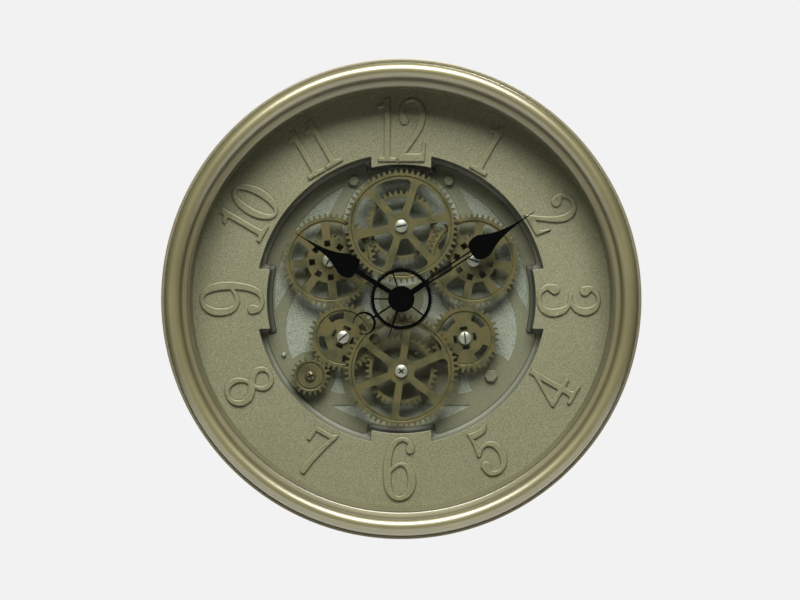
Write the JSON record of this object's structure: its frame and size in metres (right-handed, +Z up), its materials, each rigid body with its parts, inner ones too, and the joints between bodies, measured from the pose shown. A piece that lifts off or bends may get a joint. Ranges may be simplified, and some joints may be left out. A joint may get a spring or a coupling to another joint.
{
  "type": "gear wall clock",
  "caption": "Round wall clock with a deep rolled bezel, a raised dial ring and an open train of meshing gears turning behind leaf-shaped hands.",
  "frame": {"origin": "on the flat back of the cover, on the axis of the hands, where the clock touches the wall", "axes": "+Z is up; +Y points into the wall, and the dial faces -Y; +X is to the right of someone reading the clock"},
  "size_m": [0.46, 0.0854, 0.46],
  "materials": {
    "case_metal": "satin champagne lacquer",
    "champagne": "polished champagne metallic",
    "glass": "clear",
    "dark_olive": "satin",
    "olive": "fine-grained satin",
    "gear_olive": "satin with rubbed edges",
    "silver_grey": "fine sparkle",
    "bright_steel": "bright",
    "brass": "satin",
    "black": "matt black",
    "dark_plastic": "fine texture",
    "cell_skin": "smooth"
  },
  "bodies": {
    "case": {"case_drum": "case_metal", "bezel": "champagne", "glass_lens": "glass", "inner_wall_ring": "dark_olive", "dial_ring": "olive", "mechanism_tray": "olive", "skeleton_plate": "olive", "base_plate": "silver_grey", "back_cover": "dark_plastic", "clock_movement": "dark_plastic", "drive_housing": "dark_plastic", "bushing_nut": "brass", "top_gear_post": "brass", "bottom_gear_post": "brass", "upper_left_post": "brass", "upper_right_post": "brass", "lower_left_post": "brass", "lower_right_post": "brass", "top_gear_screw": "bright_steel", "bottom_gear_screw": "bright_steel", "upper_left_screw": "bright_steel", "upper_right_screw": "bright_steel", "lower_left_screw": "bright_steel", "lower_right_screw": "bright_steel", "upper_left_hex_bolt": "olive", "upper_right_hex_bolt": "olive", "lower_right_hex_bolt": "olive", "plate_pin": "bright_steel", "clock_cell": "cell_skin", "drive_cell_upper": "cell_skin", "drive_cell_lower": "cell_skin", "cover_screw_1": "bright_steel", "cover_screw_2": "bright_steel", "cover_screw_3": "bright_steel"},
    "top_gear_set": {"top_front_gear": "gear_olive", "top_rear_gear": "gear_olive"},
    "bottom_gear_set": {"bottom_front_gear": "gear_olive", "bottom_rear_gear": "gear_olive"},
    "upper_left_gear_set": {"upper_left_gear": "gear_olive", "upper_left_pinion": "gear_olive"},
    "upper_right_gear_set": {"upper_right_gear": "gear_olive", "upper_right_pinion": "gear_olive"},
    "lower_left_wheel": {"lower_left_gear": "gear_olive"},
    "lower_right_wheel": {"lower_right_gear": "gear_olive"},
    "drive_gear_set": {"drive_gear": "gear_olive", "drive_shaft": "bright_steel", "drive_gear_screw": "brass"},
    "hour_hand_set": {"hour_hand": "black", "hour_pipe": "brass"},
    "minute_hand_set": {"minute_hand": "black", "minute_pipe": "brass"},
    "seconds_wheel_set": {"seconds_wheel": "black", "seconds_arbor": "bright_steel"},
    "knob": {"setting_knob": "dark_plastic"},
    "clock_hatch": {"clock_battery_hatch": "dark_plastic"},
    "drive_hatch": {"drive_battery_hatch": "dark_plastic"},
    "switch_lever": {"drive_switch": "black"}
  },
  "joints": [
    {"name": "top_gear_spin", "type": "hinge", "parent": "case", "child": "top_gear_set", "pos_m": [0, -0.0361, 0.0713], "axis": [0, -1, 0], "continuous": true},
    {"name": "bottom_gear_spin", "type": "hinge", "parent": "case", "child": "bottom_gear_set", "pos_m": [0, -0.0361, -0.07035], "axis": [0, -1, 0], "continuous": true},
    {"name": "upper_left_spin", "type": "hinge", "parent": "case", "child": "upper_left_gear_set", "pos_m": [-0.07084, -0.0361, 0.03789], "axis": [0, -1, 0], "continuous": true},
    {"name": "upper_right_spin", "type": "hinge", "parent": "case", "child": "upper_right_gear_set", "pos_m": [0.07084, -0.0361, 0.03789], "axis": [0, -1, 0], "continuous": true},
    {"name": "lower_left_spin", "type": "hinge", "parent": "case", "child": "lower_left_wheel", "pos_m": [-0.05702, -0.0361, -0.03739], "axis": [0, -1, 0], "continuous": true},
    {"name": "lower_right_spin", "type": "hinge", "parent": "case", "child": "lower_right_wheel", "pos_m": [0.0625, -0.0361, -0.03819], "axis": [0, -1, 0], "continuous": true},
    {"name": "drive_gear_spin", "type": "hinge", "parent": "case", "child": "drive_gear_set", "pos_m": [-0.08926, -0.0361, -0.0754], "axis": [0, -1, 0], "continuous": true},
    {"name": "minute_turn", "type": "hinge", "parent": "case", "child": "minute_hand_set", "pos_m": [0, -0.0361, 0], "axis": [0, 1, 0], "continuous": true},
    {"name": "hour_turn", "type": "hinge", "parent": "case", "child": "hour_hand_set", "pos_m": [0, -0.0361, 0], "axis": [0, 1, 0], "continuous": true},
    {"name": "seconds_turn", "type": "hinge", "parent": "case", "child": "seconds_wheel_set", "pos_m": [0, -0.0361, 0], "axis": [0, 1, 0], "continuous": true},
    {"name": "knob_turn", "type": "hinge", "parent": "case", "child": "knob", "pos_m": [0, -0.002, 0.017], "axis": [0, 1, 0], "continuous": true},
    {"name": "clock_hatch_slide", "type": "slide", "parent": "case", "child": "clock_hatch", "axis": [1, 0, 0], "range_m": [0, 0.03]},
    {"name": "drive_hatch_slide", "type": "slide", "parent": "case", "child": "drive_hatch", "axis": [-1, 0, 0], "range_m": [0, 0.03]},
    {"name": "switch_slide", "type": "slide", "parent": "case", "child": "switch_lever", "axis": [1, 0, 0], "range_m": [0, 0.005]}
  ],
  "couplings": [
    {"joint": "upper_left_spin", "follows": "top_gear_spin", "ratio": -0.76},
    {"joint": "upper_right_spin", "follows": "top_gear_spin", "ratio": -0.76},
    {"joint": "lower_left_spin", "follows": "top_gear_spin", "ratio": 1.0556},
    {"joint": "lower_right_spin", "follows": "top_gear_spin", "ratio": 1.0556},
    {"joint": "bottom_gear_spin", "follows": "top_gear_spin", "ratio": -1},
    {"joint": "drive_gear_spin", "follows": "top_gear_spin", "ratio": -1.9},
    {"joint": "hour_turn", "follows": "minute_turn", "ratio": 0.083333},
    {"joint": "seconds_turn", "follows": "minute_turn", "ratio": 60},
    {"joint": "knob_turn", "follows": "minute_turn", "ratio": 1}
  ]
}
